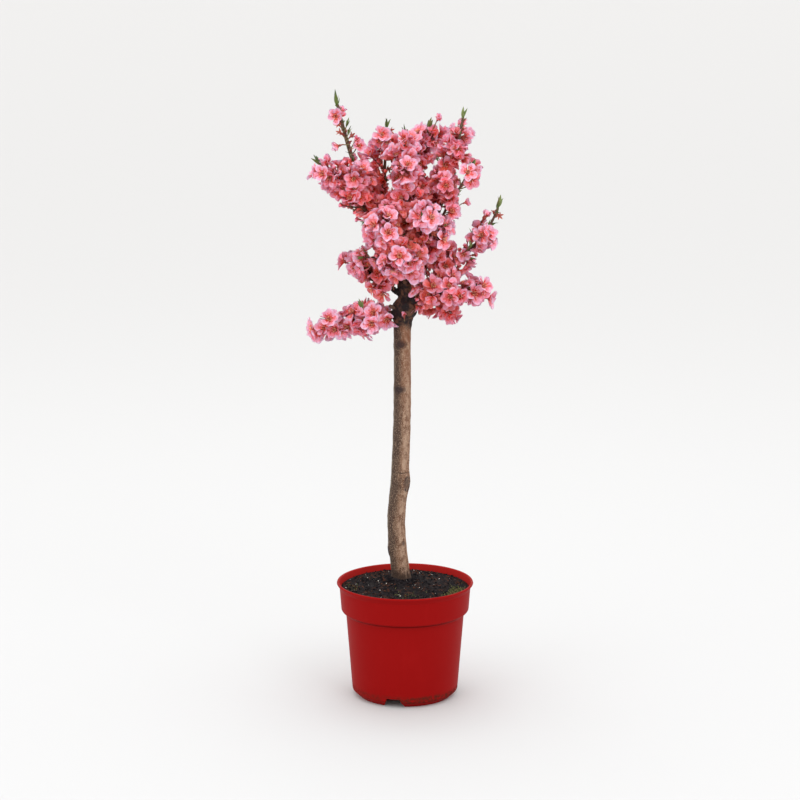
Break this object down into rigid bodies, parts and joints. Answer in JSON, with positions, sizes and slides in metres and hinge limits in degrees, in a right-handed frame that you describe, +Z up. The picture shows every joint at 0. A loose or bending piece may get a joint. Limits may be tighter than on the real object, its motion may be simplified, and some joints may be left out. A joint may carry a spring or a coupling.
{
  "type": "potted dwarf nectarine tree",
  "caption": "Dwarf nectarine tree in full pink blossom, a bare clipped stem with a head of flowering boughs, in a round plastic nursery pot.",
  "frame": {"origin": "middle of the flat underside of the pot", "axes": "+Z up the stem, -Y towards the side the plant is shown from, +X to its right"},
  "size_m": [0.266, 0.2266, 0.7948],
  "materials": {
    "pot_plastic": "satin red moulded plastic",
    "potting_soil": "moist dark peat with pale grains and bark chips",
    "bark": "grey-brown bark with darker patches and knots",
    "blossom": "soft matt petals, pale pink to crimson, with small green leaves"
  },
  "bodies": {
    "root": {"bough_back_left": "bark", "bough_back_low": "bark", "bough_back_right": "bark", "bough_centre": "bark", "bough_centre_left": "bark", "bough_centre_right": "bark", "bough_front_left": "bark", "bough_front_low": "bark", "bough_front_right": "bark", "bough_low_left": "bark", "bough_low_right": "bark", "bough_mid_left": "bark", "bough_mid_right": "bark", "bough_outer_left": "bark", "bough_right": "bark", "bough_tall_left": "bark", "bough_under_right": "bark", "bough_upper_right": "bark", "mass_back_left": "blossom", "mass_back_low": "blossom", "mass_back_right": "blossom", "mass_centre": "blossom", "mass_centre_left": "blossom", "mass_centre_right": "blossom", "mass_front_left": "blossom", "mass_front_low": "blossom", "mass_front_right": "blossom", "mass_low_left": "blossom", "mass_low_right": "blossom", "mass_mid_left": "blossom", "mass_mid_right": "blossom", "mass_outer_left": "blossom", "mass_right": "blossom", "mass_tall_left": "blossom", "mass_under_right": "blossom", "mass_upper_right": "blossom", "pot": "pot_plastic", "soil": "potting_soil", "trunk": "bark"}
  },
  "joints": []
}
